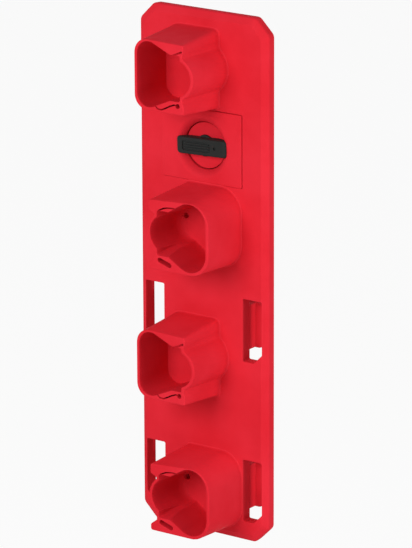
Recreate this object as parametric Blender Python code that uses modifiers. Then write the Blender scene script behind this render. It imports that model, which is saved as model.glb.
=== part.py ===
"""Wall rack for four slide-in batteries: a moulded back plate with four screwed-on sockets,
two hook feet behind it and a quarter-turn lock. Metres, +Z up, +Y towards the wall.

The origin is the centre of the lower foot's back face, so the wall is the plane y = 0.
"""
import math

import bmesh
import bpy
from mathutils import Matrix, Vector

# Clearances and cutters
gap = 0.0003
turning_gap = 0.0005
overrun = 0.002
weld_distance = 0.000001

# Back plate
plate_width = 0.1022
plate_depth = 0.010
plate_skin = 0.003
plate_wall = 0.0025
edge_slope_width = 0.0049
edge_slope_depth = 0.0025
corner_cut = 0.011
corner_round = 0.005
rib_thickness = 0.002
rib_depth = 0.008
side_cell_height = 0.033

# Slots through the plate beside the feet
slot_width = 0.015
slot_height = 0.0428
slot_margin = 0.0044
slot_round = 0.001
slot_wall = 0.0025

# Hook feet
foot_rise = 0.0355
foot_pitch = 0.1107
foot_height = 0.031
foot_hook_gap = 0.005
foot_hook_reach = 0.007
foot_flange_thickness = 0.003
foot_flange_round = 0.005
foot_web_margin = 0.0003
foot_spine = 0.010
foot_core_margin = 0.007
foot_core_height = 0.022
foot_core_depth = 0.0045
foot_core_round = 0.002
foot_screw_margin_x = 0.0057
foot_screw_margin_z = 0.0055

# Sockets: a right socket has its round lobe towards +X, a left socket towards -X
bottom_socket_rise = 0.0336
top_socket_drop = 0.0374
socket_pitch = 0.0902
lock_socket_pitch = 0.1046
socket_reach = 0.0375
socket_floor = 0.005
socket_wall = 0.0021
socket_foot_fillet = 0.001
socket_rim_chamfer = 0.0006
socket_lobe_lift = 0.0005
cavity_draft = 0.0003
pocket_wall = 0.0018
pocket_half_height = 0.0151
right_cavity_round = 0.009
left_cavity_round = 0.013

# Outer outline of a right socket at its rim and at the plate. Beside the lobe a dent and then
# a flare lead to each corner: both are heights, the dent's from where the lobe ends.
right_rim_wide = 0.0269
right_rim_top = 0.0238
right_rim_corner_top = 0.0228
right_rim_bottom = 0.0233
right_rim_wide_round = 0.0098
right_rim_corner = 0.0118
right_rim_corner_round = 0.0015
right_rim_dent_top = 0.0023
right_rim_flare_top = 0.0018
right_rim_dent_low = 0.0028
right_rim_flare_low = 0.0020
right_rim_neck = 0.0108
right_rim_lobe_reach = 0.0194
right_rim_lobe_radius = 0.0144
right_base_wide = 0.0296
right_base_wide_round = 0.013
right_base_corner = 0.0132
right_base_corner_round = 0.003
right_base_neck = 0.0131
right_base_lobe_reach = 0.0201
right_base_lobe_radius = 0.017

# Outer outline of a left socket at its rim and at the plate
left_rim_wide = 0.0308
left_rim_top = 0.0248
left_rim_corner_top = 0.0220
left_rim_bottom = 0.0245
left_rim_wide_round = 0.0148
left_rim_corner = 0.0166
left_rim_corner_round = 0.0015
left_rim_dent_top = 0.0010
left_rim_flare_top = 0.0025
left_rim_dent_low = 0.0055
left_rim_flare_low = 0.0037
left_rim_neck = 0.0117
left_rim_lobe_reach = 0.0175
left_rim_lobe_radius = 0.0143
left_base_wide = 0.0304
left_base_wide_round = 0.016
left_base_corner = 0.0134
left_base_corner_round = 0.002
left_base_neck = 0.0128
left_base_lobe_reach = 0.0186
left_base_lobe_radius = 0.017

# Shared by both sockets at the plate
base_top = 0.0267
base_dent = 0.003
base_flare = 0.003

# Latch slits in the rims, from the socket's centre: x towards the lobe, z up
slit_width = 0.0009
slit_depth = 0.018
right_slit_start_x = -0.0080
right_slit_start_z = -0.0213
right_slit_bend_x = -0.0040
right_slit_bend_z = -0.0206
right_slit_end_x = 0.0036
right_slit_end_z = -0.0171
right_slit_hole_x = 0.0067
right_slit_hole_z = -0.0172
right_slit_hole_radius = 0.0014
right_notch_start_x = 0.0052
right_notch_start_z = 0.0173
right_notch_end_x = 0.0098
right_notch_end_z = 0.0199
right_notch_width = 0.0013
right_notch_depth = 0.006
left_slit_start_x = -0.0024
left_slit_start_z = 0.0194
left_slit_end_x = 0.0080
left_slit_end_z = 0.0166
left_slot_start_z = -0.0201
left_slot_end_x = 0.0078
left_slot_end_z = -0.0176
left_slot_width = 0.0032
left_slot_depth = 0.026
floor_hole_x = 0.0097
floor_hole_z = 0.0047
floor_hole_radius = 0.002
floor_hole_skin = 0.0008

# Thread-forming screws that hold sockets and feet
screw_radius = 0.0014
screw_head_radius = 0.0028
screw_head_height = 0.0022
screw_tip_space = 0.0005
screw_pilot_skin = 0.0006
wide_screw_margin = 0.0107
wide_screw_z = 0.016
lobe_screw_x = 0.0075
lobe_screw_z = 0.017
foot_screw_head_sink = 0.0027
boss_wall = 0.0018
crown_share = 0.5
tip_share = 0.5
top_share = 0.62

# Lock bezel, which fills the plate between the two top sockets
lock_drop = 0.0008
bezel_width = 0.0625
bezel_raise = 0.0009
bezel_round = 0.0008
bezel_flange_margin = 0.0055
bezel_flange_thickness = 0.002
bezel_cup_wall = 0.0035
bezel_floor = 0.002
funnel_mouth_radius = 0.02175
funnel_throat_radius = 0.0161
bezel_screw_inset = 0.0028
bezel_screw_head_height = 0.0017

# Lock rotor
disc_sink = 0.0044
disc_thickness = 0.0018
knob_height = 0.0115
knob_lift = 0.0022
knob_end_depth = 0.0021
knob_end_clearance = 0.0013
knob_foot_clearance = 0.0015
knob_edge_round = 0.0011
knob_bevel = 0.00055
knob_bevel_angle = math.radians(50)
knob_hub_radius = 0.0075
knob_hub_sink = 0.0011
knob_stem_radius = 0.0047
knob_rest_tilt = math.radians(2.2)
knob_panel_length = 0.0250
knob_panel_height = 0.0066
knob_panel_depth = 0.0005
knob_panel_round = 0.0016
knob_panel_shift = -0.0040
knob_ridge_height = 0.0009
knob_ridge_lift = 0.00035
knob_ridge_count = 3
knob_dot_radius = 0.0011
knob_dot_depth = 0.0012
knob_dot_margin = 0.0033
cam_length = 0.040
cam_width = 0.013
cam_thickness = 0.003
spring_inner_radius = 0.0085
spring_outer_radius = 0.0118
spring_thickness = 0.0004
spring_wave = 0.00025
spring_wave_count = 3
washer_radius = 0.0056
washer_thickness = 0.0008
lock_screw_radius = 0.0015
lock_screw_head_radius = 0.0036
lock_screw_head_height = 0.0020
lock_screw_bite = 0.0055

# Resolution
corner_steps = 4
wide_steps = 8
lobe_steps = 14
small_steps = 2
fillet_steps = 3
round_sides = 32
hole_sides = 16
screw_sides = 10
ring_sides = 48
ribs_per_socket = 3
sharp_angle = math.radians(24)

# Levels along Y, from the front of the plate to the wall
plate_stand_off = foot_hook_gap + foot_flange_thickness
plate_back = -plate_stand_off
plate_front = plate_back - plate_depth
skin_back = plate_front + plate_skin
rib_back = plate_front + rib_depth
flange_front = -foot_flange_thickness
socket_base = plate_front - gap
socket_rim = plate_front - socket_reach
socket_floor_front = plate_front - socket_floor
bezel_front = plate_front - bezel_raise
flange_seat = skin_back + gap
disc_front = plate_front + disc_sink
disc_back = disc_front + disc_thickness
spring_half = spring_thickness / 2 + spring_wave
spring_middle = disc_back + gap + spring_half
bezel_floor_front = spring_middle + spring_half + gap
bezel_back = bezel_floor_front + bezel_floor
cam_front = bezel_back + gap
cam_back = cam_front + cam_thickness
washer_front = cam_back + gap
washer_back = washer_front + washer_thickness
lock_head_front = washer_back + gap

# Levels along Z
plate_bottom = -foot_rise
low_socket = plate_bottom + bottom_socket_rise
socket_centres = (low_socket + 2 * socket_pitch + lock_socket_pitch,
                  low_socket + 2 * socket_pitch,
                  low_socket + socket_pitch,
                  low_socket)
plate_top = socket_centres[0] + top_socket_drop
plate_height = plate_top - plate_bottom
plate_middle = (plate_bottom + plate_top) / 2
foot_centres = (0, foot_pitch)
bezel_middle = (socket_centres[0] + socket_centres[1]) / 2
bezel_height = lock_socket_pitch - 2 * (base_top + socket_foot_fillet + gap)
lock_centre = bezel_middle - lock_drop

# Places and lengths along X
slot_outer = plate_width / 2 - slot_margin
slot_inner = slot_outer - slot_width
slot_middle = (slot_inner + slot_outer) / 2
foot_flange_width = 2 * (slot_inner + foot_hook_reach)
foot_screw_x = slot_inner - foot_screw_margin_x
foot_screw_z = foot_height / 2 - foot_screw_margin_z
foot_core_width = foot_screw_x - foot_core_margin - foot_spine / 2
foot_core_x = (foot_core_width + foot_spine) / 2
wide_screw_x = slot_wall + wide_screw_margin - slot_inner

# Screws and what they hold
screw_hole_radius = screw_radius + gap
socket_screw_bite = socket_base - socket_floor_front - screw_pilot_skin - screw_tip_space
foot_screw_bite = rib_back - skin_back - screw_tip_space
bezel_screw_bite = plate_skin - screw_pilot_skin - screw_tip_space
bezel_cup_radius = funnel_throat_radius + bezel_cup_wall
knob_square = (knob_stem_radius - gap) * math.sqrt(2)
knob_dot_x = knob_panel_shift + knob_panel_length / 2 + knob_dot_margin


def clear_scene():
    for old in list(bpy.data.objects):
        bpy.data.objects.remove(old, do_unlink=True)


def new_collection(name):
    collection = bpy.data.collections.new(name)
    bpy.context.scene.collection.children.link(collection)
    return collection


def plastic(name, colour, roughness, metallic=0.0):
    material = bpy.data.materials.new(name)
    material.use_nodes = True
    shader = material.node_tree.nodes["Principled BSDF"]
    shader.inputs["Base Color"].default_value = (*colour, 1)
    shader.inputs["Roughness"].default_value = roughness
    shader.inputs["Metallic"].default_value = metallic
    return material


def as_object(name, mesh):
    """A new object in the cutters' collection; finish() moves a finished part to its own."""
    mesh.name = name
    thing = bpy.data.objects.new(name, mesh)
    cutters.objects.link(thing)
    thing.hide_render = True
    thing.display_type = "WIRE"
    return thing


def finish(thing, material):
    """Make an object a part: its material, its collection and smooth round faces."""
    cutters.objects.unlink(thing)
    parts.objects.link(thing)
    thing.hide_render = False
    thing.display_type = "TEXTURED"
    thing.data.materials.clear()
    thing.data.materials.append(material)
    thing.data.shade_smooth()
    thing.data.set_sharp_from_angle(angle=sharp_angle)
    return thing


def mesh_from(bm):
    mesh = bpy.data.meshes.new("shape")
    bmesh.ops.recalc_face_normals(bm, faces=bm.faces)
    bm.to_mesh(mesh)
    bm.free()
    return mesh


def transformed(mesh, matrix):
    """The mesh welded, moved by a matrix and with its faces pointing out."""
    bm = bmesh.new()
    bm.from_mesh(mesh)
    bmesh.ops.remove_doubles(bm, verts=bm.verts, dist=weld_distance)
    bmesh.ops.transform(bm, matrix=matrix, verts=bm.verts)
    bmesh.ops.recalc_face_normals(bm, faces=bm.faces)
    bm.to_mesh(mesh)
    bm.free()
    return mesh


def evaluated_mesh(thing, matrix):
    """The object's mesh with its modifiers or curve settings applied; the object is removed."""
    graph = bpy.context.evaluated_depsgraph_get()
    mesh = bpy.data.meshes.new_from_object(thing.evaluated_get(graph))
    bpy.data.objects.remove(thing, do_unlink=True)
    return transformed(mesh, matrix)


def boolean(thing, tool, operation):
    modifier = thing.modifiers.new(tool.name, "BOOLEAN")
    modifier.operation = operation
    modifier.solver = "EXACT"
    modifier.object = tool
    tool.parent = thing


def cut(thing, *tools):
    for tool in tools:
        boolean(thing, tool, "DIFFERENCE")


def join(thing, *tools):
    for tool in tools:
        boolean(thing, tool, "UNION")


def arc(centre, radius, start, end, steps):
    """Points of a circular arc in the XZ plane, both ends included, angles in radians."""
    turns = (start + (end - start) * k / steps for k in range(steps + 1))
    return [(centre[0] + radius * math.cos(t), centre[1] + radius * math.sin(t)) for t in turns]


def round_corner(before, corner, after, radius, steps):
    """The arc that rounds one corner of an outline."""
    here = Vector(corner)
    back = (Vector(before) - here).normalized()
    ahead = (Vector(after) - here).normalized()
    half = back.angle(ahead) / 2
    centre = here + (back + ahead).normalized() * radius / math.sin(half)
    first = here + back * radius / math.tan(half) - centre
    last = here + ahead * radius / math.tan(half) - centre
    start = math.atan2(first.y, first.x)
    turn = math.atan2(first.x * last.y - first.y * last.x, first.dot(last))
    return arc(centre, radius, start, start + turn, steps)


def rounded_rectangle(centre, width, height, radius, steps=corner_steps):
    x, z = centre
    corners = [(x + sx * width / 2, z + sz * height / 2)
               for sx, sz in ((-1, -1), (1, -1), (1, 1), (-1, 1))]
    return rounded(corners, radius, steps)


def rounded(corners, radius, steps=corner_steps):
    """A closed outline whose corners all have one radius."""
    points = []
    for i, corner in enumerate(corners):
        after = corners[(i + 1) % len(corners)]
        points += round_corner(corners[i - 1], corner, after, radius, steps)
    return points


def stadium(first, last, width):
    """A slot outline with round ends on two centres."""
    heading = math.atan2(last[1] - first[1], last[0] - first[0])
    quarter = math.pi / 2
    return (arc(last, width / 2, heading - quarter, heading + quarter, corner_steps)
            + arc(first, width / 2, heading + quarter, heading + 3 * quarter, corner_steps))


def shifted(outline, distance):
    """An outline moved outwards along its normals, or inwards where distance is negative."""
    moved = []
    for i, point in enumerate(outline):
        before = Vector(outline[i - 1])
        after = Vector(outline[(i + 1) % len(outline)])
        along = (after - before).normalized()
        moved.append((point[0] + along.y * distance, point[1] - along.x * distance))
    return moved


def blended(first, last, share):
    return [(a[0] + (b[0] - a[0]) * share, a[1] + (b[1] - a[1]) * share)
            for a, b in zip(first, last)]


def prism(name, outline, front, back):
    """A flat outline in the XZ plane, extruded along Y."""
    curve = bpy.data.curves.new(name, "CURVE")
    curve.dimensions = "2D"
    curve.fill_mode = "BOTH"
    curve.extrude = (back - front) / 2
    spline = curve.splines.new("POLY")
    spline.points.add(len(outline) - 1)
    for point, (x, z) in zip(spline.points, outline):
        point.co = (x, z, 0, 1)
    spline.use_cyclic_u = True
    guide = bpy.data.objects.new(name, curve)
    cutters.objects.link(guide)
    place = Matrix.Translation((0, (front + back) / 2, 0)) @ Matrix.Rotation(math.pi / 2, 4, "X")
    return as_object(name, evaluated_mesh(guide, place))


def loft(name, rings):
    """A closed body through rings of equal counts, each an outline and its place along Y."""
    bm = bmesh.new()
    loops = [[bm.verts.new((x, y, z)) for x, z in outline] for outline, y in rings]
    for near, far in zip(loops, loops[1:]):
        for i in range(len(near)):
            bm.faces.new((near[i - 1], near[i], far[i], far[i - 1]))
    bm.faces.new(loops[0])
    bm.faces.new(loops[-1][::-1])
    return as_object(name, mesh_from(bm))


def boxes(name, rectangles, front, back):
    """One mesh of separate boxes, each given by its low and high corners in the XZ plane."""
    bm = bmesh.new()
    for (x0, z0), (x1, z1) in rectangles:
        middle = Vector(((x0 + x1) / 2, (front + back) / 2, (z0 + z1) / 2))
        size = Vector((x1 - x0, back - front, z1 - z0))
        place = Matrix.Translation(middle) @ Matrix.Diagonal((*size, 1))
        bmesh.ops.create_cube(bm, size=1, matrix=place)
    return as_object(name, mesh_from(bm))


def rods(name, places, radius, front, back, sides=screw_sides):
    """One mesh of separate cylinders along Y."""
    bm = bmesh.new()
    for x, z in places:
        place = (Matrix.Translation((x, (front + back) / 2, z))
                 @ Matrix.Rotation(math.pi / 2, 4, "X"))
        bmesh.ops.create_cone(bm, cap_ends=True, segments=sides, radius1=radius,
                              radius2=radius, depth=back - front, matrix=place)
    return as_object(name, mesh_from(bm))


def turned_mesh(profile, sides, closed=False):
    """A profile of (radius, y) points turned about the Y axis, front point first."""
    bm = bmesh.new()
    dots = [bm.verts.new((radius, 0, -y)) for radius, y in profile]
    for first, second in zip(dots, dots[1:]):
        bm.edges.new((first, second))
    if closed:
        bm.edges.new((dots[-1], dots[0]))
    mesh = bpy.data.meshes.new("profile")
    bm.to_mesh(mesh)
    bm.free()
    thing = bpy.data.objects.new("profile", mesh)
    cutters.objects.link(thing)
    screw = thing.modifiers.new("turn", "SCREW")
    screw.steps = sides
    screw.render_steps = sides
    screw.use_merge_vertices = True
    screw.merge_threshold = weld_distance
    return evaluated_mesh(thing, Matrix.Rotation(math.pi / 2, 4, "X"))


def screw_mesh(radius, length, head_radius, head_height):
    """A domed screw whose head seats at y = 0 and whose shank runs towards -Y."""
    crown = head_height * crown_share
    tip = radius * tip_share
    profile = ((0, -length), (tip, -length), (radius, tip - length), (radius, 0),
               (head_radius, 0), (head_radius, crown), (head_radius * top_share, head_height),
               (0, head_height))
    return turned_mesh(profile, screw_sides)


def screws(name, mesh, places, seat):
    """Identical screws that share one mesh, each its own part."""
    for number, (x, z) in enumerate(places, 1):
        thing = finish(as_object(f"{name}_{number}", mesh), steel)
        thing.location = (x, seat, z)


def plate_outline(inset, steps=corner_steps):
    """The plate's outline with its corners cut at 45 degrees, moved in by inset."""
    half_width = plate_width / 2 - inset
    half_height = plate_height / 2 - inset
    leg = corner_cut - inset * (2 - math.sqrt(2))
    corners = []
    for sx, sz in ((1, -1), (1, 1), (-1, 1), (-1, -1)):
        along_x = (sx * (half_width - leg), plate_middle + sz * half_height)
        along_z = (sx * half_width, plate_middle + sz * (half_height - leg))
        corners += [along_x, along_z] if sx * sz < 0 else [along_z, along_x]
    return rounded(corners, corner_round, steps)


def split(low, high, most):
    """Equal stretches between low and high with a rib between neighbours."""
    count = math.ceil((high - low + rib_thickness) / (most + rib_thickness))
    step = (high - low + rib_thickness) / count
    return [(low + k * step, low + (k + 1) * step - rib_thickness) for k in range(count)]


def rib_cells():
    """Rectangles of the tray between its ribs: two middle columns and one on each side."""
    cells = []
    low = plate_bottom
    high = plate_top
    rib_step = socket_pitch / ribs_per_socket
    margin = 2 * plate_wall
    lines = sorted(centre + k * rib_step for centre in socket_centres for k in (-1, 0, 1))
    lines = [low, *(z for z in lines if low + margin < z < high - margin), high]
    inner = slot_inner - slot_wall
    for start, end in zip(lines, lines[1:]):
        bottom = start + rib_thickness / 2
        top = end - rib_thickness / 2
        cells.append(((-inner, bottom), (-rib_thickness / 2, top)))
        cells.append(((rib_thickness / 2, bottom), (inner, top)))
    frame_half = slot_height / 2 + slot_wall
    open_stretches = ((low, foot_centres[0] - frame_half),
                      (foot_centres[0] + frame_half, foot_centres[1] - frame_half),
                      (foot_centres[1] + frame_half, high))
    for start, end in open_stretches:
        for bottom, top in split(start, end, side_cell_height):
            cells.append(((slot_inner, bottom), (plate_width / 2, top)))
            cells.append(((-plate_width / 2, bottom), (-slot_inner, top)))
    return cells


def foot_screws(centre):
    return [(sx * foot_screw_x, centre + sz * foot_screw_z)
            for sx in (-1, 1) for sz in (-1, 1)]


def socket_screws(centre, side):
    places = ((wide_screw_x, wide_screw_z), (lobe_screw_x, lobe_screw_z))
    return [(side * x, centre + sz * z) for x, z in places for sz in (-1, 1)]


def bezel_screws():
    reach_x = bezel_width / 2 + bezel_flange_margin - bezel_screw_inset
    reach_z = bezel_height / 2 + bezel_flange_margin - bezel_screw_inset
    return [(sx * reach_x, bezel_middle + sz * reach_z) for sx in (-1, 1) for sz in (-1, 1)]


def back_plate():
    """Shallow tray with ribs, four slots, a window for the lock and screw holes."""
    edge = plate_outline(0)
    plate = loft("back_plate", ((plate_outline(edge_slope_width), plate_front),
                                (edge, plate_front + edge_slope_depth),
                                (edge, plate_back)))
    behind = plate_back + overrun
    cells = boxes("rib_cells", rib_cells(), skin_back, behind)
    boolean(cells, prism("tray_bound", plate_outline(plate_wall), skin_back - overrun,
                         behind + overrun), "INTERSECT")
    foot_places = [place for centre in foot_centres for place in foot_screws(centre)]
    cut(cells, rods("foot_bosses", foot_places, screw_hole_radius + boss_wall,
                    skin_back - overrun, behind + overrun, hole_sides))
    relief = prism("lip_step", plate_outline(edge_slope_width), rib_back, behind)
    cut(plate, cells, relief)
    for number, centre in enumerate(foot_centres):
        for side in (-1, 1):
            outline = rounded_rectangle((side * slot_middle, centre), slot_width,
                                        slot_height, slot_round, small_steps)
            cut(plate, prism(f"slot_{number}_{side}", outline, plate_front - overrun, behind))
    window = rounded_rectangle((0, bezel_middle), bezel_width + 2 * gap,
                               bezel_height + 2 * gap, bezel_round + gap, small_steps)
    recess_width = bezel_width + 2 * (bezel_flange_margin + turning_gap)
    recess_height = bezel_height + 2 * (bezel_flange_margin + turning_gap)
    recess = rounded_rectangle((0, bezel_middle), recess_width, recess_height,
                               bezel_round, small_steps)
    cut(plate, prism("lock_recess", recess, skin_back, behind),
        prism("lock_window", window, plate_front - overrun, behind))
    through = [place for centre, side in zip(socket_centres, socket_sides)
               for place in socket_screws(centre, side)]
    blind = foot_seat_depth()
    cut(plate, rods("socket_screw_holes", through, screw_hole_radius,
                    plate_front - overrun, skin_back + overrun),
        rods("foot_screw_holes", foot_places, screw_hole_radius, blind, behind),
        rods("bezel_screw_holes", bezel_screws(), screw_hole_radius,
             skin_back - bezel_screw_bite - screw_tip_space, skin_back + overrun))
    return finish(plate, red)


def foot_seat_depth():
    """How deep the foot screws' pilot holes reach into the plate's bosses."""
    return rib_back - foot_screw_bite - screw_tip_space


def outer_outline(wide, top, corner_top, bottom, wide_round, corner, corner_round, dent_top,
                  flare_top, dent_low, flare_low, neck, lobe_reach, lobe_radius):
    """A socket's outer outline with its lobe towards +X, anticlockwise from the low corner."""
    lobe = (lobe_reach - lobe_radius, socket_lobe_lift)
    swing = math.acos((neck - lobe[0]) / lobe_radius)
    lobe_end = lobe_radius * math.sin(swing)
    high_dent = (neck, socket_lobe_lift + lobe_end + dent_top)
    high_flare = (corner, high_dent[1] + flare_top)
    low_dent = (neck, socket_lobe_lift - lobe_end - dent_low)
    low_flare = (corner, low_dent[1] - flare_low)
    low_corner = (corner, -bottom)
    high_corner = (corner, corner_top)
    low_wide = (-wide, -bottom)
    high_wide = (-wide, top)
    outline = round_corner(low_wide, low_corner, low_flare, corner_round, corner_steps)
    outline += [low_flare, low_dent]
    outline += arc(lobe, lobe_radius, -swing, swing, lobe_steps)
    outline += [high_dent, high_flare]
    outline += round_corner(high_flare, high_corner, high_wide, corner_round, corner_steps)
    outline += round_corner(high_corner, high_wide, low_wide, wide_round, wide_steps)
    outline += round_corner(high_wide, low_wide, low_corner, wide_round, wide_steps)
    return outline


def cavity_outline(rim_wide, rim_bottom, rim_neck, rim_lobe_reach, rim_lobe_radius, wide_round):
    """The opening for the battery's stem, one wall inside the rim: a wide side, two flanks,
    a lobe and two pockets."""
    wide = rim_wide - socket_wall
    half_height = rim_bottom + socket_lobe_lift - socket_wall
    lobe_reach = rim_lobe_reach - socket_wall
    lobe_radius = rim_lobe_radius - socket_wall
    pocket_reach = rim_neck - pocket_wall
    hub = (wide_round - wide, half_height - wide_round)
    lobe = (lobe_reach - lobe_radius, 0)
    span = math.hypot(lobe[0] - hub[0], hub[1])
    lean = math.atan2(hub[1], lobe[0] - hub[0]) - math.asin((lobe_radius - wide_round) / span)
    normal = math.pi / 2 - lean
    flank = (hub[0] + wide_round * math.cos(normal), hub[1] + wide_round * math.sin(normal))
    pocket_start = flank[0] + (flank[1] - pocket_half_height) / math.tan(lean)
    swing = math.acos((pocket_reach - lobe[0]) / lobe_radius)
    upper = [(pocket_reach, pocket_half_height), (pocket_start, pocket_half_height)]
    upper += arc(hub, wide_round, normal, math.pi, wide_steps)
    lower = [(x, -z) for x, z in reversed(upper)]
    outline = lower + arc(lobe, lobe_radius, -swing, swing, lobe_steps) + upper
    return [(x, z + socket_lobe_lift) for x, z in outline]


def right_outlines():
    rim = outer_outline(right_rim_wide, right_rim_top, right_rim_corner_top, right_rim_bottom,
                        right_rim_wide_round, right_rim_corner, right_rim_corner_round,
                        right_rim_dent_top, right_rim_flare_top, right_rim_dent_low,
                        right_rim_flare_low, right_rim_neck, right_rim_lobe_reach,
                        right_rim_lobe_radius)
    base = outer_outline(right_base_wide, base_top, base_top, base_top, right_base_wide_round,
                         right_base_corner, right_base_corner_round, base_dent, base_flare,
                         base_dent, base_flare, right_base_neck, right_base_lobe_reach,
                         right_base_lobe_radius)
    cavity = cavity_outline(right_rim_wide, right_rim_bottom, right_rim_neck,
                            right_rim_lobe_reach, right_rim_lobe_radius, right_cavity_round)
    return rim, base, cavity


def left_outlines():
    rim = outer_outline(left_rim_wide, left_rim_top, left_rim_corner_top, left_rim_bottom,
                        left_rim_wide_round, left_rim_corner, left_rim_corner_round,
                        left_rim_dent_top, left_rim_flare_top, left_rim_dent_low,
                        left_rim_flare_low, left_rim_neck, left_rim_lobe_reach,
                        left_rim_lobe_radius)
    base = outer_outline(left_base_wide, base_top, base_top, base_top, left_base_wide_round,
                         left_base_corner, left_base_corner_round, base_dent, base_flare,
                         base_dent, base_flare, left_base_neck, left_base_lobe_reach,
                         left_base_lobe_radius)
    cavity = cavity_outline(left_rim_wide, left_rim_bottom, left_rim_neck, left_rim_lobe_reach,
                            left_rim_lobe_radius, left_cavity_round)
    return rim, base, cavity


def placed(outline, side, centre):
    """An outline of a socket in its own frame, turned to its side and lifted to its centre."""
    points = [(side * x, centre + z) for x, z in outline]
    return points if side > 0 else points[::-1]


def slit(name, ends, width, depth, side, centre):
    """A slot with round ends sunk into the rim."""
    first, last = placed(ends, side, centre)
    return prism(name, stadium(first, last, width), socket_rim - overrun, socket_rim + depth)


def right_details(name, centre):
    """A thin latch slit that ends in a round hole, and a notch at the upper corner."""
    start = (right_slit_start_x, right_slit_start_z)
    bend = (right_slit_bend_x, right_slit_bend_z)
    end = (right_slit_end_x, right_slit_end_z)
    hole = (right_slit_hole_x, right_slit_hole_z)
    notch = ((right_notch_start_x, right_notch_start_z), (right_notch_end_x, right_notch_end_z))
    return (slit(name + "_slit_low", (start, bend), slit_width, slit_depth, 1, centre),
            slit(name + "_slit_high", (bend, end), slit_width, slit_depth, 1, centre),
            rods(name + "_slit_hole", placed((hole,), 1, centre), right_slit_hole_radius,
                 socket_rim - overrun, socket_rim + slit_depth),
            slit(name + "_notch", notch, right_notch_width, right_notch_depth, 1, centre))


def left_details(name, centre):
    """A thin latch slit above the opening and a wide slot below it."""
    thin = ((left_slit_start_x, left_slit_start_z), (left_slit_end_x, left_slit_end_z))
    wide = ((0, left_slot_start_z), (left_slot_end_x, left_slot_end_z))
    return (slit(name + "_slit", thin, slit_width, slit_depth, -1, centre),
            slit(name + "_slot", wide, left_slot_width, left_slot_depth, -1, centre))


def socket(number, centre, side):
    """One battery socket: a drafted cup with a foot fillet, latch slits and pilot holes."""
    name = f"socket_{number}"
    rim, base, cavity = right_outlines() if side > 0 else left_outlines()
    depth = socket_base - socket_rim
    rings = []
    for k in range(fillet_steps + 1):
        turn = math.pi / 2 * k / fillet_steps
        rise = socket_foot_fillet * (1 - math.cos(turn))
        spread = socket_foot_fillet * (1 - math.sin(turn))
        outline = shifted(blended(base, rim, rise / depth), spread)
        rings.append((placed(outline, side, centre), socket_base - rise))
    shoulder = blended(base, rim, 1 - socket_rim_chamfer / depth)
    rings.append((placed(shoulder, side, centre), socket_rim + socket_rim_chamfer))
    lip = shifted(rim, -socket_rim_chamfer)
    rings.append((placed(lip, side, centre), socket_rim))
    cup = loft(name, rings)
    floor_outline = placed(shifted(cavity, -cavity_draft), side, centre)
    mouth = placed(shifted(cavity, socket_rim_chamfer), side, centre)
    sink = placed(cavity, side, centre)
    cut(cup, loft(name + "_cavity", ((mouth, socket_rim - gap),
                                     (sink, socket_rim + socket_rim_chamfer),
                                     (floor_outline, socket_floor_front))))
    cut(cup, *(right_details if side > 0 else left_details)(name, centre))
    pilot_front = socket_base - socket_screw_bite - screw_tip_space
    cut(cup, rods(name + "_pilots", socket_screws(centre, side), screw_hole_radius,
                  pilot_front, socket_base + overrun),
        rods(name + "_floor_hole", placed(((floor_hole_x, floor_hole_z),), side, centre),
             floor_hole_radius, socket_floor_front - overrun, socket_base - floor_hole_skin,
             hole_sides))
    return finish(cup, red)


def add_socket_screws(number, centre, side):
    seat = skin_back + gap
    length = seat - (socket_base - socket_screw_bite)
    mesh = screw_mesh(screw_radius, length, screw_head_radius, screw_head_height)
    screws(f"socket_{number}_screw", mesh, socket_screws(centre, side), seat)


def foot(name, centre):
    """A hook foot: a web on the plate's ribs and a wider flange that hooks into the wall."""
    flange = rounded_rectangle((0, centre), foot_flange_width, foot_height, foot_flange_round)
    body = prism(name, flange, flange_front, 0)
    half_width = slot_inner
    half_height = foot_height / 2 - foot_web_margin
    web = boxes(name + "_web", (((-half_width, centre - half_height),
                                 (half_width, centre + half_height)),),
                rib_back + gap, -foot_flange_thickness / 2)
    join(body, web)
    for side in (-1, 1):
        core = rounded_rectangle((side * foot_core_x, centre), foot_core_width,
                                 foot_core_height, foot_core_round, small_steps)
        cut(body, prism(f"{name}_core_{side}", core, -foot_core_depth, overrun))
    places = foot_screws(centre)
    cut(body, rods(name + "_holes", places, screw_hole_radius, rib_back - overrun, overrun),
        rods(name + "_sinks", places, screw_head_radius + gap,
             -screw_head_height - foot_screw_head_sink, overrun, hole_sides))
    return finish(body, red)


def add_foot_screws(name, centre):
    seat = gap - screw_head_height - foot_screw_head_sink
    length = seat - (rib_back - foot_screw_bite)
    mesh = screw_mesh(screw_radius, length, screw_head_radius, screw_head_height)
    screws(name + "_screw", mesh, foot_screws(centre), seat)


def lock_bezel():
    """The raised pad with the lock's funnel, held by a flange behind the plate's skin."""
    middle = (0, bezel_middle)
    pad = rounded_rectangle(middle, bezel_width, bezel_height, bezel_round, small_steps)
    wider = 2 * bezel_flange_margin
    flange = rounded_rectangle(middle, bezel_width + wider, bezel_height + wider,
                               bezel_round, small_steps)
    body = prism("lock_bezel", pad, bezel_front, flange_seat + bezel_flange_thickness / 2)
    plate = prism("bezel_flange", flange, flange_seat, flange_seat + bezel_flange_thickness)
    cup = rods("bezel_cup", ((0, lock_centre),), bezel_cup_radius, skin_back, bezel_back,
               round_sides)
    join(body, plate, cup)
    slope = (funnel_mouth_radius - funnel_throat_radius) / (disc_front - bezel_front)
    bore = knob_stem_radius + gap
    profile = ((0, bezel_front - overrun),
               (funnel_mouth_radius + slope * overrun, bezel_front - overrun),
               (funnel_throat_radius, disc_front), (funnel_throat_radius, bezel_floor_front),
               (bore, bezel_floor_front), (bore, bezel_back + overrun),
               (0, bezel_back + overrun))
    funnel = as_object("funnel", turned_mesh(profile, ring_sides))
    funnel.location.z = lock_centre
    holes = rods("bezel_flange_holes", bezel_screws(), screw_hole_radius,
                 flange_seat - overrun, flange_seat + bezel_flange_thickness + overrun)
    cut(body, funnel, holes)
    return finish(body, red)


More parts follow.
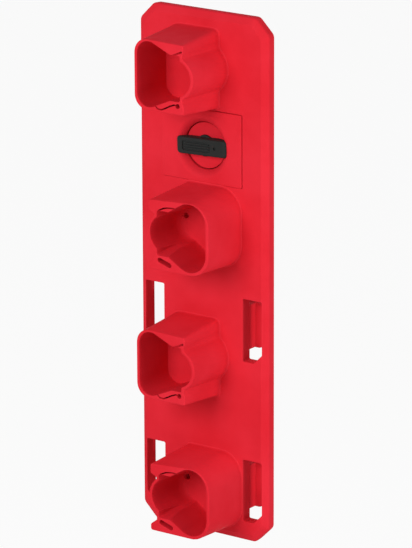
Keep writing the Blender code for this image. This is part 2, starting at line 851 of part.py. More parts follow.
def add_bezel_screws():
    seat = flange_seat + bezel_flange_thickness + gap
    length = seat - (skin_back - bezel_screw_bite)
    mesh = screw_mesh(screw_radius, length, screw_head_radius, bezel_screw_head_height)
    screws("bezel_screw", mesh, bezel_screws(), seat)


def lock_spring():
    """A wave spring between the disc and the bezel's floor."""
    front = -spring_thickness / 2
    back = spring_thickness / 2
    profile = ((spring_inner_radius, front), (spring_outer_radius, front),
               (spring_outer_radius, back), (spring_inner_radius, back))
    mesh = turned_mesh(profile, ring_sides, closed=True)
    for vertex in mesh.vertices:
        angle = math.atan2(vertex.co.z, vertex.co.x)
        vertex.co.y += spring_wave * math.cos(spring_wave_count * angle)
    mesh.transform(Matrix.Translation((0, spring_middle, lock_centre)))
    return finish(as_object("lock_spring", mesh), steel)


def on_lock_axis(thing, axis):
    """Hang a part modelled about the Y axis on the lock's axis."""
    thing.parent = axis
    return thing


def lock_disc(axis):
    hole = knob_stem_radius + gap
    edge = funnel_throat_radius - turning_gap
    profile = ((hole, disc_front), (edge, disc_front), (edge, disc_back), (hole, disc_back))
    disc = as_object("lock_disc", turned_mesh(profile, ring_sides, closed=True))
    return on_lock_axis(finish(disc, red), axis)


def knob_reach(radius):
    """Half the length of a bar as high as the grip that just turns inside a circle."""
    return math.sqrt(radius ** 2 - (knob_height / 2) ** 2)


def knob_bar():
    """The grip: a bar whose ends taper behind to clear the funnel."""
    half = knob_reach(funnel_mouth_radius - knob_end_clearance)
    foot_half = knob_reach(funnel_throat_radius - knob_foot_clearance)
    front = plate_front - knob_lift
    back = disc_front - gap
    end = front + knob_end_depth
    corners = ((-half, front), (half, front), (half, end), (foot_half, back),
               (-foot_half, back), (-half, end))
    side = rounded(corners, knob_edge_round, small_steps)
    bar = prism("lock_knob", side, -knob_height / 2, knob_height / 2)
    upright = Matrix.Scale(-1, 4, (0, 1, 0)) @ Matrix.Rotation(math.pi / 2, 4, "X")
    transformed(bar.data, upright)
    bevel = bar.modifiers.new("edges", "BEVEL")
    bevel.width = knob_bevel
    bevel.segments = small_steps
    bevel.limit_method = "ANGLE"
    bevel.angle_limit = knob_bevel_angle
    return bar


def lock_knob(axis):
    """The black turn knob: grip bar, round hub, stem and the square that drives the cam."""
    knob = knob_bar()
    hub_front = plate_front + knob_hub_sink
    origin = ((0, 0),)
    hub = rods("knob_hub", origin, knob_hub_radius, hub_front, disc_front - gap, round_sides)
    stem = rods("knob_stem", origin, knob_stem_radius, hub_front, cam_front, round_sides)
    half = knob_square / 2
    square = boxes("knob_square", (((-half, -half), (half, half)),), hub_front, cam_back - gap)
    join(knob, hub, stem, square)
    front = plate_front - knob_lift
    panel = rounded_rectangle((knob_panel_shift, 0), knob_panel_length, knob_panel_height,
                              knob_panel_round, small_steps)
    panel_cut = prism("knob_panel", panel, front - overrun, front + knob_panel_depth)
    pitch = knob_panel_height / (knob_ridge_count + 1)
    ridge_half = knob_panel_length / 2 - pitch
    ridges = []
    for k in range(knob_ridge_count):
        z = (k + 1) * pitch - knob_panel_height / 2
        ridges.append(((knob_panel_shift - ridge_half, z - knob_ridge_height / 2),
                       (knob_panel_shift + ridge_half, z + knob_ridge_height / 2)))
    cut(panel_cut, boxes("knob_ridges", ridges, front + knob_panel_depth - knob_ridge_lift,
                         front + knob_panel_depth + overrun))
    dot = rods("knob_dot", ((knob_dot_x, 0),), knob_dot_radius, front - overrun,
               front + knob_dot_depth)
    pilot = rods("knob_pilot", origin, lock_screw_radius + gap,
                 cam_back - gap - lock_screw_bite - screw_tip_space, cam_back + overrun)
    cut(knob, panel_cut, dot, pilot)
    return on_lock_axis(finish(knob, black), axis)


def lock_cam(axis):
    """The latch bar that turns behind the wall rail, driven by the stem's square."""
    reach = (cam_length - cam_width) / 2
    cam = prism("lock_cam", stadium((-reach, 0), (reach, 0), cam_width), cam_front, cam_back)
    half = knob_square / 2 + gap
    cut(cam, boxes("cam_square", (((-half, -half), (half, half)),), cam_front - overrun,
                   cam_back + overrun))
    return on_lock_axis(finish(cam, black), axis)


def lock_washer(axis):
    hole = lock_screw_radius + gap
    profile = ((hole, washer_front), (washer_radius, washer_front),
               (washer_radius, washer_back), (hole, washer_back))
    washer = as_object("lock_washer", turned_mesh(profile, round_sides, closed=True))
    return on_lock_axis(finish(washer, steel), axis)


def lock_screw(axis):
    length = lock_head_front - (cam_back - gap - lock_screw_bite)
    mesh = screw_mesh(lock_screw_radius, length, lock_screw_head_radius,
                      lock_screw_head_height)
    mesh.transform(Matrix.Translation((0, lock_head_front, 0)))
    return on_lock_axis(finish(as_object("lock_screw", mesh), steel), axis)


def lock_axis_empty():
    """The turning axis, tilted a little because the knob rests just off level."""
    axis = bpy.data.objects.new("lock_axis", None)
    parts.objects.link(axis)
    axis.location = (0, 0, lock_centre)
    axis.rotation_euler = (0, -knob_rest_tilt, 0)
    return axis


clear_scene()
parts = new_collection("battery_holder")
cutters = new_collection("cutters")
red = plastic("red_plastic", (0.72, 0.018, 0.035), 0.45)
black = plastic("black_plastic", (0.022, 0.023, 0.022), 0.42)
steel = plastic("zinc_steel", (0.55, 0.55, 0.57), 0.35, 1.0)
socket_sides = (1, -1, 1, -1)

back_plate()
for number, (centre, side) in enumerate(zip(socket_centres, socket_sides), 1):
    socket(number, centre, side)
    add_socket_screws(number, centre, side)
for name, centre in zip(("lower_foot", "upper_foot"), foot_centres):
    foot(name, centre)
    add_foot_screws(name, centre)
lock_bezel()
add_bezel_screws()
lock_spring()
lock_axis = lock_axis_empty()
for build in (lock_disc, lock_knob, lock_cam, lock_washer, lock_screw):
    build(lock_axis)
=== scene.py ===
"""Looks for a wall rack of battery sockets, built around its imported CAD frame.

Every shown piece is a finer body of the same shape and place as the CAD node that it
replaces, with rounded edges, on the same moving body. Metres, +Z up, +Y towards the wall.
"""
from math import acos, asin, atan2, ceil, cos, hypot, pi, radians, sin, sqrt, tan

import bmesh
import bpy
import numpy as np
from mathutils import Matrix, Vector


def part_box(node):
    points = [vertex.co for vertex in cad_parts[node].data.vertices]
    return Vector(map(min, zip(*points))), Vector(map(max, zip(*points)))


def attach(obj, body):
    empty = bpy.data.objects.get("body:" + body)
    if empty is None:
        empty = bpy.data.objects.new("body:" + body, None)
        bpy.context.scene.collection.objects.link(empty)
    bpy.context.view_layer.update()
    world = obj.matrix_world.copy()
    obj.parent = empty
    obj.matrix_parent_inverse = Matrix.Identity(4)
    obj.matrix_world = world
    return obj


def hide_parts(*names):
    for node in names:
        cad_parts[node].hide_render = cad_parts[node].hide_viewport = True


# Shared small sizes
touch = 0.0001
gap = 0.0003
turning_gap = 0.0005
overrun = 0.002
weld_distance = 0.000001

# Back plate
plate_skin = 0.003
plate_wall = 0.0025
edge_slope_width = 0.0049
edge_slope_depth = 0.0025
corner_cut = 0.011
corner_round = 0.005
slope_round = 0.0016
side_round = 0.0020
back_round = 0.0020
side_lean = 0.0006
rib_thickness = 0.002
rib_depth = 0.008
side_cell_height = 0.033
cell_round = 0.0008
cell_floor_round = 0.0005

# Slots beside the feet
slot_width = 0.015
slot_height = 0.0428
slot_margin = 0.0044
slot_round = 0.001
slot_wall = 0.0025
slot_edge_round = 0.0005
slot_chamfer = 0.0065

# Hook feet
foot_pitch = 0.1107
foot_hook_reach = 0.007
foot_flange_thickness = 0.003
foot_flange_round = 0.005
foot_edge_round = 0.0005
foot_web_margin = 0.0003
foot_spine = 0.010
foot_core_margin = 0.007
foot_core_height = 0.022
foot_core_depth = 0.0045
foot_core_round = 0.002
foot_screw_margin_x = 0.0057
foot_screw_margin_z = 0.0055

# Sockets
bottom_socket_rise = 0.0336
socket_pitch = 0.0902
lock_socket_pitch = 0.1046
socket_floor = 0.005
socket_wall = 0.0021
socket_foot_round = 0.0013
socket_rim_round = 0.0007
socket_mouth_round = 0.00045
socket_floor_round = 0.0009
socket_lobe_lift = 0.0005
soft_radius = 0.00045
pocket_wall = 0.0018
pocket_half_height = 0.0151
pocket_round = 0.0013
right_cavity_round = 0.009
left_cavity_round = 0.013
left_pocket_depth = 0.026
left_pocket_draw_x = 0.004
left_pocket_draw_z = 0.0045
left_pocket_start = 0.009
left_crease = (0.0046, 0.01275)
left_deep_reach = 0.0146
left_deep_crease = (0.0022, 0.0117)
left_floor_reach = 0.0100
left_floor_crease = (0.0020, 0.0112)
left_floor_fillet = 0.0016
left_fillet_height = 0.0065
fillet_steps = 7

# Outlines of the sockets, lobe towards +X: right rim, right base, left rim, left base
base_top = 0.0267
outline_sizes = dict(
    wide=(0.0269, 0.0296, 0.0308, 0.0304),
    top=(0.0238, base_top, 0.0248, base_top),
    corner_top=(0.0228, base_top, 0.0220, base_top),
    bottom=(0.0233, base_top, 0.0245, base_top),
    wide_round=(0.0098, 0.013, 0.0148, 0.016),
    corner=(0.0118, 0.0132, 0.0166, 0.0134),
    corner_round=(0.0015, 0.003, 0.0015, 0.002),
    dent_top=(0.0023, 0.003, 0.0010, 0.003),
    flare_top=(0.0018, 0.003, 0.0025, 0.003),
    dent_low=(0.0028, 0.003, 0.0055, 0.003),
    flare_low=(0.0020, 0.003, 0.0037, 0.003),
    neck=(0.0108, 0.0131, 0.0117, 0.0128),
    lobe_reach=(0.0194, 0.0201, 0.0175, 0.0186),
    lobe_radius=(0.0144, 0.017, 0.0143, 0.017),
    soft=(soft_radius, 0.0016, soft_radius, 0.0016))
right_rim, right_base, left_rim, left_base = (dict(zip(outline_sizes, column))
                                              for column in zip(*outline_sizes.values()))

# Slits and holes, from the socket's centre: x towards the lobe, z up
slit_width = 0.0009
slit_depth = 0.018
slit_edge_round = 0.0003
right_slit = ((-0.0106, -0.0193), (-0.0085, -0.0213), (-0.0054, -0.0215), (-0.0022, -0.0200),
              (0.0012, -0.0182), (0.0045, -0.0170), (0.0066, -0.0173))
right_slit_hole = (0.0073, -0.0175)
right_slit_hole_radius = 0.0016
right_notch = ((0.0039, 0.0154), (0.0103, 0.0183))
right_notch_width = 0.0012
right_notch_depth = 0.006
left_slit = ((-0.0042, 0.0186), (-0.0015, 0.0186), (0.0016, 0.0183), (0.0048, 0.0175),
             (0.0085, 0.0157))
left_slot = ((0, -0.0201), (0.0078, -0.0176))
left_slot_width = 0.0032
left_slot_depth = 0.026
floor_hole = (0.0097, 0.0047)
floor_hole_radius = 0.002
floor_hole_skin = 0.0008

# Screws
screw_radius = 0.0014
screw_head_radius = 0.0028
screw_head_height = 0.0022
screw_head_round = 0.0009
screw_seat_round = screw_head_round / 3
screw_tip_space = 0.0005
screw_pilot_skin = 0.0006
screw_thread_pitch = 0.0009
screw_thread_depth = 0.00032
screw_recess_width = 0.0007
screw_recess_reach = 0.0017
screw_recess_depth = 0.0011
screw_recess_round = screw_recess_width / 4
wide_screw_margin = 0.0107
wide_screw_z = 0.016
lobe_screw_x = 0.0075
lobe_screw_z = 0.017
foot_screw_head_sink = 0.0027
boss_wall = 0.0018

# Lock bezel and rotor
lock_drop = 0.0008
bezel_width = 0.0625
bezel_clearance = 0.001
bezel_raise = 0.0009
bezel_round = 0.0008
bezel_edge_round = 0.0005
bezel_flange_margin = 0.0055
bezel_flange_thickness = 0.002
bezel_cup_wall = 0.0035
bezel_floor = 0.002
funnel_mouth_radius = 0.02175
funnel_throat_radius = 0.0161
funnel_step = 0.0008
bowl_steps = 12
bowl_power = 2.3
funnel_seat_round = 0.0004
disc_crevice = 0.0007
bezel_screw_inset = 0.0028
bezel_screw_head_height = 0.0017
disc_sink = 0.0044
disc_thickness = 0.0018
disc_edge_round = 0.0004
knob_height = 0.0115
knob_lift = 0.0022
knob_end_depth = 0.0031
knob_end_clearance = 0.0013
knob_foot_clearance = 0.0015
knob_corner_round = 0.0022
knob_front_round = 0.0008
knob_end_round = 0.0026
knob_round_depth = 0.0020
knob_hub_radius = 0.0072
knob_hub_sink = 0.0024
knob_hub_round = 0.0006
knob_stem_radius = 0.0047
knob_rest_tilt = radians(2.2)
knob_panel_length = 0.0226
knob_panel_height = 0.0066
knob_panel_depth = 0.0010
knob_panel_round = 0.0016
knob_panel_shift = -0.0036
knob_ridge_height = 0.0007
knob_ridge_drop = 0.00015
knob_ridge_count = 3
knob_dot_radius = 0.0011
knob_dot_depth = 0.0012
knob_dot_margin = 0.0033
knob_detail_round = 0.0002
cam_length = 0.040
cam_width = 0.013
cam_thickness = 0.003
cam_edge_round = 0.0005
spring_inner_radius = 0.0085
spring_outer_radius = 0.0118
spring_thickness = 0.0004
spring_wave = 0.00025
spring_wave_count = 3
washer_radius = 0.0056
washer_thickness = 0.0008
washer_edge_round = 0.0002
lock_screw_radius = 0.0015
lock_screw_head_radius = 0.0036
lock_screw_head_height = 0.0020
lock_screw_bite = 0.0055

# Resolution
corner_steps = 6
wide_steps = 16
lobe_steps = 30
round_steps = 4
cell_steps = 3
recess_steps = 2
round_sides = 48
hole_sides = 28
ring_sides = 96
smoothing_samples = 4096
sharp_angle = radians(35)

# Points near the ends of a straight stretch: radii away, largest share of its length
near_marks = ((0.7, 0.10), (1.4, 0.20), (2.2, 0.32), (3.4, 0.43))

# Materials, in linear colours
# edge: the lighter colour of the specks, and of the edges as wear and painted highlight
red_look = dict(deep=(0.66, 0.015, 0.027), pale=(0.72, 0.022, 0.038), edge=(0.84, 0.052, 0.076),
                rough=(0.60, 0.76), specular=0.045)
black_look = dict(deep=(0.016, 0.018, 0.017), pale=(0.023, 0.025, 0.024),
                  edge=(0.052, 0.054, 0.053), rough=(0.42, 0.58), specular=0.05)
mix_first, mix_last, mix_result = 6, 7, 2
unit_range = (0.0, 1.0)
mottle_range = (0.35, 0.65)
flow_range = (0.3, 0.7)
cloud_scale = 26.0
speck_scale = 2600.0
speck_range = (0.45, 0.75)
speck_share = 0.10
grain_scale = 3800.0
grain_bump = (0.22, 0.00005)
flow_scale = 160.0
flow_bump = (0.10, 0.00012)
# Edges lightened along their bend: partly wear, partly a painted highlight
edge_wear_and_highlight_radius = 0.0007
edge_wear_and_highlight_samples = 6
edge_wear_and_highlight_bend = (0.995, 0.80)
edge_wear_and_highlight_share = 0.45
zinc_deep = (0.46, 0.47, 0.50)
zinc_pale = (0.66, 0.65, 0.62)
zinc_rough = (0.26, 0.44)
zinc_mottle_scale = 900.0
zinc_mark_scale = 5200.0
zinc_bump = (0.2, 0.00003)

# Studio: the floor, the levels of light, the lamps and the camera
floor_drop = 0.16
floor_size = 6.0
floor_deep = (0.80, 0.80, 0.79)
floor_pale = (0.84, 0.84, 0.83)
floor_rough = 0.85
floor_specular = 0.1
floor_mottle_scale = 3.0
background_level = 1.0
ambient_level = 0.38
shadow_share = 0.08
key_lamp = dict(place=(-0.04, -1.35, 0.68), size=0.8, power=12.9)
side_lamp = dict(place=(1.20, -0.02, 0.40), size=0.4, power=6.6)
camera_azimuth = radians(35.463)
camera_elevation = radians(16.41)
camera_roll = radians(-0.22)
camera_place = (1.5129, -2.1384, 0.9109)
camera_focal_pixels = 4143
camera_reach = 50
image_height = 548
sensor_size = 36.0

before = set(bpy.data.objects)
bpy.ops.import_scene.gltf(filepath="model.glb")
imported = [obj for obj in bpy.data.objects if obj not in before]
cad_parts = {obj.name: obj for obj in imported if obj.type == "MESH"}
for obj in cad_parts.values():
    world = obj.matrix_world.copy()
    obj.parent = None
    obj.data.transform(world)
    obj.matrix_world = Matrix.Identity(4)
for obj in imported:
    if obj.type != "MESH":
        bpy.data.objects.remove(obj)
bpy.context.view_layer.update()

# Levels and places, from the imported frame
plate_low, plate_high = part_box("back_plate")
plate_front, plate_back = plate_low.y, plate_high.y
plate_bottom, plate_top = plate_low.z, plate_high.z
plate_width = plate_high.x - plate_low.x
plate_middle = (plate_bottom + plate_top) / 2
socket_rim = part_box("socket_1")[0].y
skin_back = plate_front + plate_skin
rib_back = plate_front + rib_depth
socket_base = plate_front + touch
socket_floor_front = plate_front - socket_floor
bezel_front = plate_front - bezel_raise
flange_seat = skin_back + gap
flange_back = flange_seat + bezel_flange_thickness
disc_front = plate_front + disc_sink
disc_back = disc_front + disc_thickness
spring_half = spring_thickness / 2 + spring_wave
spring_middle = disc_back + gap + spring_half
bezel_floor_front = spring_middle + spring_half + gap
bezel_back = bezel_floor_front + bezel_floor
cam_front = bezel_back + gap
cam_back = cam_front + cam_thickness
washer_front = cam_back + gap
washer_back = washer_front + washer_thickness
lock_head_front = washer_back + gap
low_socket = plate_bottom + bottom_socket_rise
high_socket = low_socket + 2 * socket_pitch
socket_centres = (high_socket + lock_socket_pitch, high_socket, low_socket + socket_pitch,
                  low_socket)
socket_places = tuple(zip(socket_centres, (1, -1, 1, -1)))
foot_centres = (0, foot_pitch)
feet = tuple(zip(("lower_foot", "upper_foot"), foot_centres))
foot_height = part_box("lower_foot")[1].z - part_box("lower_foot")[0].z
bezel_middle = (socket_centres[0] + socket_centres[1]) / 2
bezel_height = lock_socket_pitch - 2 * (base_top + bezel_clearance + gap)
lock_centre = bezel_middle - lock_drop
slot_outer = plate_width / 2 - slot_margin
slot_inner = slot_outer - slot_width
foot_flange_width = 2 * (slot_inner + foot_hook_reach)
foot_screw_x = slot_inner - foot_screw_margin_x
foot_screw_z = foot_height / 2 - foot_screw_margin_z
foot_core_width = foot_screw_x - foot_core_margin - foot_spine / 2
foot_core_x = (foot_core_width + foot_spine) / 2
wide_screw_x = slot_wall + wide_screw_margin - slot_inner
screw_hole_radius = screw_radius + gap
foot_screw_bite = rib_back - skin_back - screw_tip_space
bezel_screw_bite = plate_skin - screw_pilot_skin - screw_tip_space
knob_square = (knob_stem_radius - gap) * sqrt(2)
knob_dot_x = knob_panel_shift + knob_panel_length / 2 + knob_dot_margin


def mesh_from(bm):
    mesh = bpy.data.meshes.new("shape")
    bmesh.ops.recalc_face_normals(bm, faces=bm.faces)
    bm.to_mesh(mesh)
    bm.free()
    return mesh


def add_object(name, data):
    """An object in the scene; show() makes a piece of a scratch body later."""
    thing = bpy.data.objects.new(name, data)
    bpy.context.scene.collection.objects.link(thing)
    return thing


def applied(thing, *tools):
    """The object's mesh with its modifiers applied; the object and its tools are removed."""
    graph = bpy.context.evaluated_depsgraph_get()
    mesh = bpy.data.meshes.new_from_object(thing.evaluated_get(graph))
    for old in (thing, *tools):
        bpy.data.objects.remove(old, do_unlink=True)
    return mesh


def combined(thing, tools, operation):
    """The body after a Boolean with each tool, as a new scratch body."""
    name = thing.name
    for tool in tools:
        modifier = thing.modifiers.new(tool.name, "BOOLEAN")
        modifier.operation = operation
        modifier.solver = "EXACT"
        modifier.object = tool
    return add_object(name, applied(thing, *tools))


def cut(thing, *tools):
    return combined(thing, tools, "DIFFERENCE")


def join(thing, *tools):
    return combined(thing, tools, "UNION")


def show(thing, node, finish="red_plastic", body="holder"):
    """Make a piece of a scratch body: tidy mesh, smooth shading, material, body and node."""
    bm = bmesh.new()
    bm.from_mesh(thing.data)
    bmesh.ops.remove_doubles(bm, verts=bm.verts, dist=weld_distance)
    bmesh.ops.dissolve_degenerate(bm, edges=bm.edges, dist=weld_distance)
    thing.data = mesh_from(bm)
    thing.data.materials.append(finishes[finish])
    thing.data.shade_smooth()
    thing.data.set_sharp_from_angle(angle=sharp_angle)
    thing.modifiers.new("weighted", "WEIGHTED_NORMAL").keep_sharp = True
    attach(thing, body)
    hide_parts(node)


def arc(centre, radius, start, end, steps):
    """Points of a circular arc, both ends included, angles in radians."""
    turns = (start + (end - start) * k / steps for k in range(steps + 1))
    return [(centre[0] + radius * cos(t), centre[1] + radius * sin(t)) for t in turns]


def round_corner(before, corner, after, radius, steps=corner_steps):
    """The arc that rounds one corner of an outline."""
    here = Vector(corner)
    back = (Vector(before) - here).normalized()
    ahead = (Vector(after) - here).normalized()
    half = back.angle(ahead) / 2
    centre = here + (back + ahead).normalized() * radius / sin(half)
    first = here + back * radius / tan(half) - centre
    last = here + ahead * radius / tan(half) - centre
    start = atan2(first.y, first.x)
    turn = atan2(first.x * last.y - first.y * last.x, first.dot(last))
    return arc(centre, radius, start, start + turn, steps)


def rounded(corners, radius, steps=corner_steps):
    """A closed outline whose corners all have one radius."""
    points = []
    for i, corner in enumerate(corners):
        after = corners[(i + 1) % len(corners)]
        points += round_corner(corners[i - 1], corner, after, radius, steps)
    return points


def rounded_path(corners, radii):
    """An open path whose inner corners are rounded by a radius each."""
    points = [corners[0]]
    for k, radius in enumerate(radii, 1):
        points += (round_corner(corners[k - 1], corners[k], corners[k + 1], radius, round_steps)
                   if radius else [corners[k]])
    return points + [corners[-1]]


def rounded_box(centre, width, height, radius, steps=corner_steps):
    x, z = centre
    corners = [(x + sx * width / 2, z + sz * height / 2)
               for sx, sz in ((-1, -1), (1, -1), (1, 1), (-1, 1))]
    return rounded(corners, radius, steps)


def channel(path, width):
    """An outline that follows an open path of points, with round ends."""
    turns = [atan2(b[1] - a[1], b[0] - a[0]) for a, b in zip(path, path[1:])]
    side = []
    for point, before, after in zip(path[1:], turns, turns[1:]):
        middle = (before + after) / 2
        reach = width / 2 / cos((after - before) / 2)
        side.append((point, -reach * sin(middle), reach * cos(middle)))
    quarter = pi / 2
    steps = 2 * corner_steps
    return (arc(path[-1], width / 2, turns[-1] - quarter, turns[-1] + quarter, steps)
            + [(p[0] + x, p[1] + z) for p, x, z in reversed(side)]
            + arc(path[0], width / 2, turns[0] + quarter, turns[0] + 3 * quarter, steps)
            + [(p[0] - x, p[1] - z) for p, x, z in side])


def circle(centre, radius, sides=hole_sides):
    return arc(centre, radius, 0, 2 * pi * (1 - 1 / sides), sides - 1)


def shifted(outline, distance):
    """An outline moved outwards along its normals, or inwards where distance is negative."""
    moved = []
    for i, point in enumerate(outline):
        before = Vector(outline[i - 1])
        after = Vector(outline[(i + 1) % len(outline)])
        along = (after - before).normalized()
        moved.append((point[0] + along.y * distance, point[1] - along.x * distance))
    return moved


def blended(first, last, share):
    return [(a[0] + (b[0] - a[0]) * share, a[1] + (b[1] - a[1]) * share)
            for a, b in zip(first, last)]


def spaced(start, end, radius):
    """Points of a straight stretch, closer together near its ends, the end left out."""
    first, last = Vector(start), Vector(end)
    length = (last - first).length
    near = [min(radius * k, length * share) for k, share in near_marks]
    marks = [0, *near, *(length - d for d in reversed(near))]
    return [tuple(first.lerp(last, mark / length)) for mark in marks]


def softened(outline, radius):
    """A closed outline whose corners are worn soft by a smoothing that keeps its points."""
    loop = np.array([*outline, outline[0]])
    along = np.concatenate(([0], np.cumsum(np.hypot(*np.diff(loop, axis=0).T))))
    length = along[-1]
    marks = np.arange(smoothing_samples) * length / smoothing_samples
    waves = np.fft.rfftfreq(smoothing_samples, length / smoothing_samples)
    fade = np.exp(-2 * (pi * radius * waves) ** 2)
    points = []
    for values in loop.T:
        dense = np.interp(marks, along, values)
        smooth = np.fft.irfft(np.fft.rfft(dense) * fade, smoothing_samples)
        points.append(np.interp(along[:-1], marks, smooth, period=length))
    return [tuple(point) for point in np.array(points).T.tolist()]


def linked(stretches, radius):
    """A closed outline of stretches with straight lines between them, worn soft."""
    outline = []
    for k, stretch in enumerate(stretches):
        after = stretches[(k + 1) % len(stretches)]
        outline += stretch[:-1] + spaced(stretch[-1], after[0], radius)
    return softened(outline, radius)


def mirrored(path):
    """A path turned over about z = 0, in the reverse order."""
    return [(x, -z) for x, z in reversed(path)]


def loft(name, rings):
    """A closed body through rings of equal counts, each an outline and its place along Y."""
    bm = bmesh.new()
    loops = [[bm.verts.new((x, y, z)) for x, z in outline] for outline, y in rings]
    for near, far in zip(loops, loops[1:]):
        for i in range(len(near)):
            bm.faces.new((near[i - 1], near[i], far[i], far[i - 1]))
    bm.faces.new(loops[0])
    bm.faces.new(loops[-1][::-1])
    return add_object(name, mesh_from(bm))


def quarter_round(steps=round_steps):
    """Shares of a round edge's radius, beside and behind its start, along its arc."""
    turns = (pi / 2 * k / steps for k in range(steps + 1))
    return [(1 - sin(t), 1 - cos(t)) for t in turns]


def edge_rings(outline, level, away, radius, spread):
    """Rings of a rounded edge: the outline is whole a radius away from level, and at level it
    has moved by the radius, outwards where spread is 1 and inwards where it is -1."""
    return [(shifted(outline, spread * radius * beside), level + away * radius * behind)
            for beside, behind in quarter_round()]


def prism(name, outline, front, back):
    return loft(name, [(outline, front), (outline, back)])


def slab(name, outline, front, back, radius):
    """An extruded outline whose front and back edges are rounded."""
    return loft(name, edge_rings(outline, front, 1, radius, -1)
                + edge_rings(outline, back, -1, radius, -1)[::-1])


def mouth(outline, front, radius):
    """Rings of a cutter from in front of a face, which round the edge that it leaves there."""
    return [(shifted(outline, radius), front - overrun),
            *edge_rings(outline, front, 1, radius, 1)]


def plug(name, outline, front, back, radius):
    """A cutter from in front of a face to back, with a round edge at the face."""
    return loft(name, [*mouth(outline, front, radius), (outline, back)])


def turned(name, profile, sides, middle=(0, 0), closed=False):
    """A profile of (radius, y) points turned about a line along Y."""
    bm = bmesh.new()
    rings = []
    for radius, y in profile:
        if radius:
            rings.append([bm.verts.new((x, y, z)) for x, z in circle(middle, radius, sides)])
        else:
            rings.append([bm.verts.new((middle[0], y, middle[1]))])
    pairs = list(zip(rings, rings[1:]))
    if closed:
        pairs.append((rings[-1], rings[0]))
    for near, far in pairs:
        for i in range(sides):
            first = [near[i - 1], near[i]] if len(near) > 1 else near
            last = [far[i], far[i - 1]] if len(far) > 1 else far
            bm.faces.new(first + last)
    return add_object(name, mesh_from(bm))


def rod(name, place, radius, front, back, sides=hole_sides):
    return turned(name, ((0, front), (radius, front), (radius, back), (0, back)), sides, place)


def merged(name, things):
    """Separate scratch bodies as one."""
    bm = bmesh.new()
    for thing in things:
        bm.from_mesh(thing.data)
        bpy.data.objects.remove(thing, do_unlink=True)
    return add_object(name, mesh_from(bm))


def rods(name, places, front, back, radius=screw_hole_radius):
    return merged(name, [rod(name, place, radius, front, back) for place in places])


def plate_outline(inset):
    """The plate's outline with its corners cut at 45 degrees, moved in by inset."""
    half_width = plate_width / 2 - inset
    half_height = (plate_top - plate_bottom) / 2 - inset
    leg = corner_cut - inset * (2 - sqrt(2))
    corners = []
    for sx, sz in ((1, -1), (1, 1), (-1, 1), (-1, -1)):
        along_x = (sx * (half_width - leg), plate_middle + sz * half_height)
        along_z = (sx * half_width, plate_middle + sz * (half_height - leg))
        corners += [along_x, along_z] if sx * sz < 0 else [along_z, along_x]
    return rounded(corners, corner_round)


def split(low, high, most):
    """Equal stretches between low and high with a rib between neighbours."""
    count = ceil((high - low + rib_thickness) / (most + rib_thickness))
    step = (high - low + rib_thickness) / count
    return [(low + k * step, low + (k + 1) * step - rib_thickness) for k in range(count)]


def rib_cells():
    """Low and high corners of the tray's cells between its ribs."""
    margin = 2 * plate_wall
    lines = sorted(centre + k * socket_pitch / 3 for centre in socket_centres
                   for k in (-1, 0, 1))
    inside = [z for z in lines if plate_bottom + margin < z < plate_top - margin]
    lines = [plate_bottom, *inside, plate_top]
    inner = slot_inner - slot_wall
    half_rib = rib_thickness / 2
    cells = []
    for start, end in zip(lines, lines[1:]):
        cells += [((-inner, start + half_rib), (-half_rib, end - half_rib)),
                  ((half_rib, start + half_rib), (inner, end - half_rib))]
    reach = slot_height / 2 + slot_wall
    lower, upper = foot_centres
    for start, end in ((plate_bottom, lower - reach), (lower + reach, upper - reach),
                       (upper + reach, plate_top)):
        for low, high in split(start, end, side_cell_height):
            cells += [((slot_inner, low), (plate_width / 2, high)),
                      ((-plate_width / 2, low), (-slot_inner, high))]
    return cells


def cell_cutters(behind):
    """One body for each cell, with round corners and a fillet at its floor."""
    made = []
    for (x0, z0), (x1, z1) in rib_cells():
        outline = rounded_box(((x0 + x1) / 2, (z0 + z1) / 2), x1 - x0, z1 - z0, cell_round,
                              cell_steps)
        rings = edge_rings(outline, skin_back, 1, cell_floor_round, -1)
        made.append(loft("cell", [*rings, (outline, behind)]))
    return merged("rib_cells", made)


def four_places(centre, reach_x, reach_z):
    return [(sx * reach_x, centre + sz * reach_z) for sx in (-1, 1) for sz in (-1, 1)]


def foot_screws(centre):
    return four_places(centre, foot_screw_x, foot_screw_z)


def socket_screws(centre, side):
    places = ((wide_screw_x, wide_screw_z), (lobe_screw_x, lobe_screw_z))
    return [(side * x, centre + sz * z) for x, z in places for sz in (-1, 1)]


def bezel_screws():
    margin = bezel_flange_margin - bezel_screw_inset
    return four_places(bezel_middle, bezel_width / 2 + margin, bezel_height / 2 + margin)


def bezel_outline(margin, radius=bezel_round):
    """The pad's outline, moved outwards by a margin."""
    return rounded_box((0, bezel_middle), bezel_width + 2 * margin, bezel_height + 2 * margin,
                       radius)


def plate_profile():
    """The plate's edge as (inset, y): flat front, slope, side and back, with round corners."""
    corners = ((2 * edge_slope_width, plate_front), (edge_slope_width, plate_front),
               (0, plate_front + edge_slope_depth), (side_lean, plate_back),
               (2 * plate_wall, plate_back))
    return rounded_path(corners, (slope_round, side_round, back_round))


def slot_outline(side, centre):
    """A slot beside a foot, its lower outer corner cut off."""
    half = slot_height / 2
    corners = ((slot_inner, -half), (slot_outer - slot_chamfer, -half),
               (slot_outer, slot_chamfer - half), (slot_outer, half), (slot_inner, half))
    return placed(rounded(corners, slot_round), side, centre)


